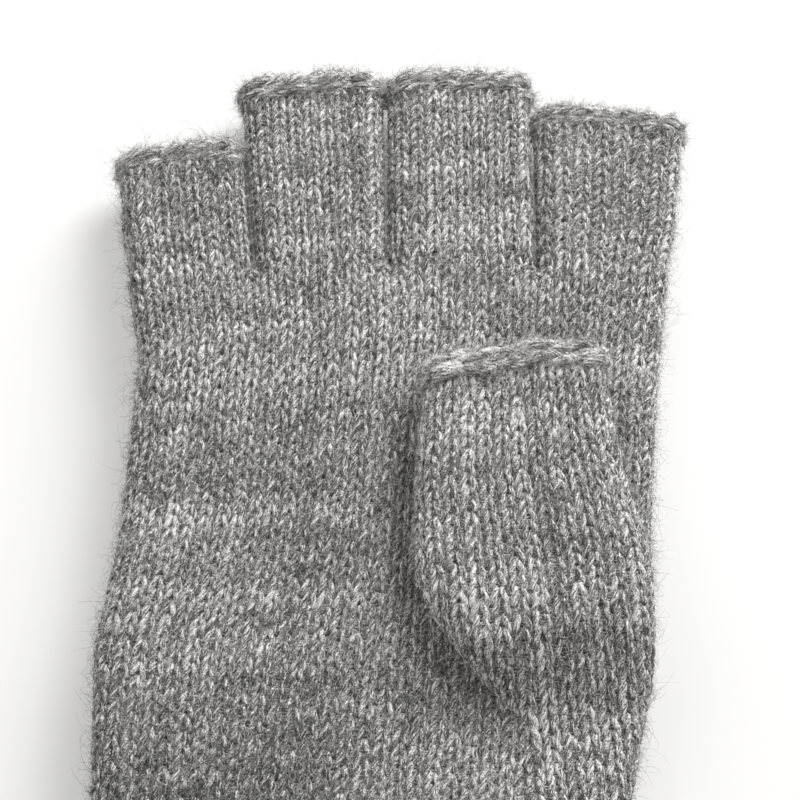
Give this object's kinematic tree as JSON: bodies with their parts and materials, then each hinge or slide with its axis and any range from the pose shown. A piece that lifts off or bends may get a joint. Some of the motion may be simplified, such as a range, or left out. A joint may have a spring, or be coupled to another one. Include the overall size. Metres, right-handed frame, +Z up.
{
  "type": "convertible flip-top mitten",
  "caption": "Right-hand knitted half-finger glove with a flip-over mitten flap, folded open and looped to a button at the ribbed cuff.",
  "frame": {"origin": "On the flat underside of the open flap, which the glove rests on, below the middle of the palm.", "axes": "+X to the index finger and thumb side, +Y to the fingertips, +Z up out of the palm."},
  "size_m": [0.0998, 0.2113, 0.025],
  "materials": {
    "wool_knit": "fuzzy marled grey wool, plain knit",
    "wool_rib": "fuzzy marled grey wool, rib knit",
    "wool_edge": "fuzzy marled grey wool, bound-off edge",
    "button_plastic": "satin, mottled horn look",
    "thread": "twisted sewing thread",
    "loop_cord": "braided elastic cord"
  },
  "bodies": {
    "hand": {"hand_tube": "wool_knit", "wrist_rib_cuff": "wool_rib", "cuff_cast_on_edge": "wool_edge", "finger_crotch_stitches": "wool_knit", "flap_joining_seam": "wool_edge", "button": "button_plastic", "button_thread": "thread"},
    "little_finger": {"little_finger_tube": "wool_knit", "little_finger_rim": "wool_edge"},
    "ring_finger": {"ring_finger_tube": "wool_knit", "ring_finger_rim": "wool_edge"},
    "middle_finger": {"middle_finger_tube": "wool_knit", "middle_finger_rim": "wool_edge"},
    "index_finger": {"index_finger_tube": "wool_knit", "index_finger_rim": "wool_edge"},
    "thumb": {"thumb_tube": "wool_knit", "thumb_rim": "wool_edge"},
    "flap": {"flap_back_panel": "wool_knit", "flap_side_folds": "wool_knit", "flap_tip_seam": "wool_edge", "button_loop": "loop_cord", "loop_anchor_stitch": "thread"},
    "flap_palm": {"flap_palm_panel": "wool_knit", "flap_rib_band": "wool_rib"}
  },
  "joints": [
    {"name": "flap_fold", "type": "hinge", "parent": "hand", "child": "flap", "pos_m": [0, 0.052, 0.0033], "axis": [0.9994, 0.0349, 0], "range_deg": [0, 176], "deforming": ["button_loop"]},
    {"name": "pocket_open", "type": "slide", "parent": "flap", "child": "flap_palm", "axis": [0, 0, -1], "range_m": [0, 0.011], "deforming": ["flap_side_folds", "flap_tip_seam", "flap_palm_panel", "flap_rib_band"]},
    {"name": "little_finger_flex", "type": "hinge", "parent": "hand", "child": "little_finger", "pos_m": [-0.03836, 0.0575, 0.0153], "axis": [-0.9781, -0.2079, 0], "range_deg": [-45, 0]},
    {"name": "ring_finger_flex", "type": "hinge", "parent": "hand", "child": "ring_finger", "pos_m": [-0.01597, 0.0615, 0.0153], "axis": [-0.989, -0.1478, 0], "range_deg": [-45, 0]},
    {"name": "middle_finger_flex", "type": "hinge", "parent": "hand", "child": "middle_finger", "pos_m": [0.00882, 0.0637, 0.0153], "axis": [-0.9962, -0.0872, 0], "range_deg": [-45, 0]},
    {"name": "index_finger_flex", "type": "hinge", "parent": "hand", "child": "index_finger", "pos_m": [0.0335, 0.0638, 0.0153], "axis": [-0.9998, -0.0174, 0], "range_deg": [-45, 0]},
    {"name": "thumb_lift", "type": "hinge", "parent": "hand", "child": "thumb", "pos_m": [0.02991, -0.02124, 0.01505], "axis": [0.9848, 0.1736, 0], "range_deg": [0, 55]}
  ],
  "couplings": [
    {"joint": "pocket_open", "follows": "flap_fold", "m_per_rad": 0.003581}
  ]
}
